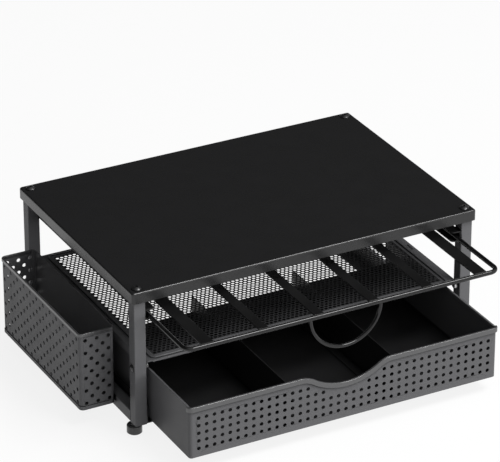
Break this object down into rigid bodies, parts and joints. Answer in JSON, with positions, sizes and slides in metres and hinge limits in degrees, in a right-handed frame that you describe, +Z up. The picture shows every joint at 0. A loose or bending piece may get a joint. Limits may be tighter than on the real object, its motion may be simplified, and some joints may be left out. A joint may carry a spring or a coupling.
{
  "type": "coffee capsule holder",
  "caption": "Tiered steel stand with a slide-out capsule rack, a perforated scooped drawer, a lift-off side basket and levelling feet, made to carry a coffee machine.",
  "frame": {"origin": "on the counter under the middle of the top panel", "axes": "+Z up, -Y towards the user, +X to the user's right"},
  "size_m": [0.4043, 0.3287, 0.1605],
  "materials": {
    "black_powder_coat": "satin",
    "black_fasteners": "satin",
    "zinc_steel": "satin",
    "foot_plastic": "gloss"
  },
  "bodies": {
    "stand": {"top_panel": "black_powder_coat", "post_front_left": "black_powder_coat", "post_front_right": "black_powder_coat", "post_rear_left": "black_powder_coat", "post_rear_right": "black_powder_coat", "bottom_rail_left": "black_powder_coat", "bottom_rail_right": "black_powder_coat", "upper_runner_left": "black_powder_coat", "upper_runner_right": "black_powder_coat", "lower_runner_left": "black_powder_coat", "lower_runner_right": "black_powder_coat", "mesh_shelf": "black_powder_coat", "shelf_screws": "black_fasteners", "shelf_nuts": "zinc_steel", "top_bolts": "black_fasteners", "post_inserts": "zinc_steel", "foot_nuts": "zinc_steel"},
    "capsule_rack": {"rack_rim_wire": "black_powder_coat", "rack_rear_bar": "black_powder_coat", "rack_strip_1": "black_powder_coat", "rack_strip_2": "black_powder_coat", "rack_strip_3": "black_powder_coat", "rack_strip_4": "black_powder_coat", "rack_strip_5": "black_powder_coat", "rack_strip_6": "black_powder_coat", "rack_handle": "black_powder_coat"},
    "drawer": {"drawer_front": "black_powder_coat", "drawer_back": "black_powder_coat", "drawer_floor": "black_powder_coat", "drawer_side_left": "black_powder_coat", "drawer_side_right": "black_powder_coat", "drawer_divider_left": "black_powder_coat", "drawer_divider_right": "black_powder_coat"},
    "side_basket": {"basket_wall": "black_powder_coat", "basket_floor": "black_powder_coat", "basket_hook_front": "black_powder_coat", "basket_hook_rear": "black_powder_coat"},
    "foot_front_left": {"foot_base_front_left": "foot_plastic", "foot_stud_front_left": "zinc_steel"},
    "foot_front_right": {"foot_base_front_right": "foot_plastic", "foot_stud_front_right": "zinc_steel"},
    "foot_rear_left": {"foot_base_rear_left": "foot_plastic", "foot_stud_rear_left": "zinc_steel"},
    "foot_rear_right": {"foot_base_rear_right": "foot_plastic", "foot_stud_rear_right": "zinc_steel"}
  },
  "joints": [
    {"name": "rack_slide", "type": "slide", "parent": "stand", "child": "capsule_rack", "axis": [0, -1, 0], "range_m": [-0.074, 0.09]},
    {"name": "drawer_slide", "type": "slide", "parent": "stand", "child": "drawer", "axis": [0, -1, 0], "range_m": [-0.077, 0.085]},
    {"name": "basket_lift", "type": "slide", "parent": "stand", "child": "side_basket", "axis": [0, 0, 1], "range_m": [0, 0.007]},
    {"name": "foot_front_left_height", "type": "slide", "parent": "stand", "child": "foot_front_left", "axis": [0, 0, -1], "range_m": [-0.0035, 0.0035]},
    {"name": "foot_front_right_height", "type": "slide", "parent": "stand", "child": "foot_front_right", "axis": [0, 0, -1], "range_m": [-0.0035, 0.0035]},
    {"name": "foot_rear_left_height", "type": "slide", "parent": "stand", "child": "foot_rear_left", "axis": [0, 0, -1], "range_m": [-0.0035, 0.0035]},
    {"name": "foot_rear_right_height", "type": "slide", "parent": "stand", "child": "foot_rear_right", "axis": [0, 0, -1], "range_m": [-0.0035, 0.0035]}
  ]
}
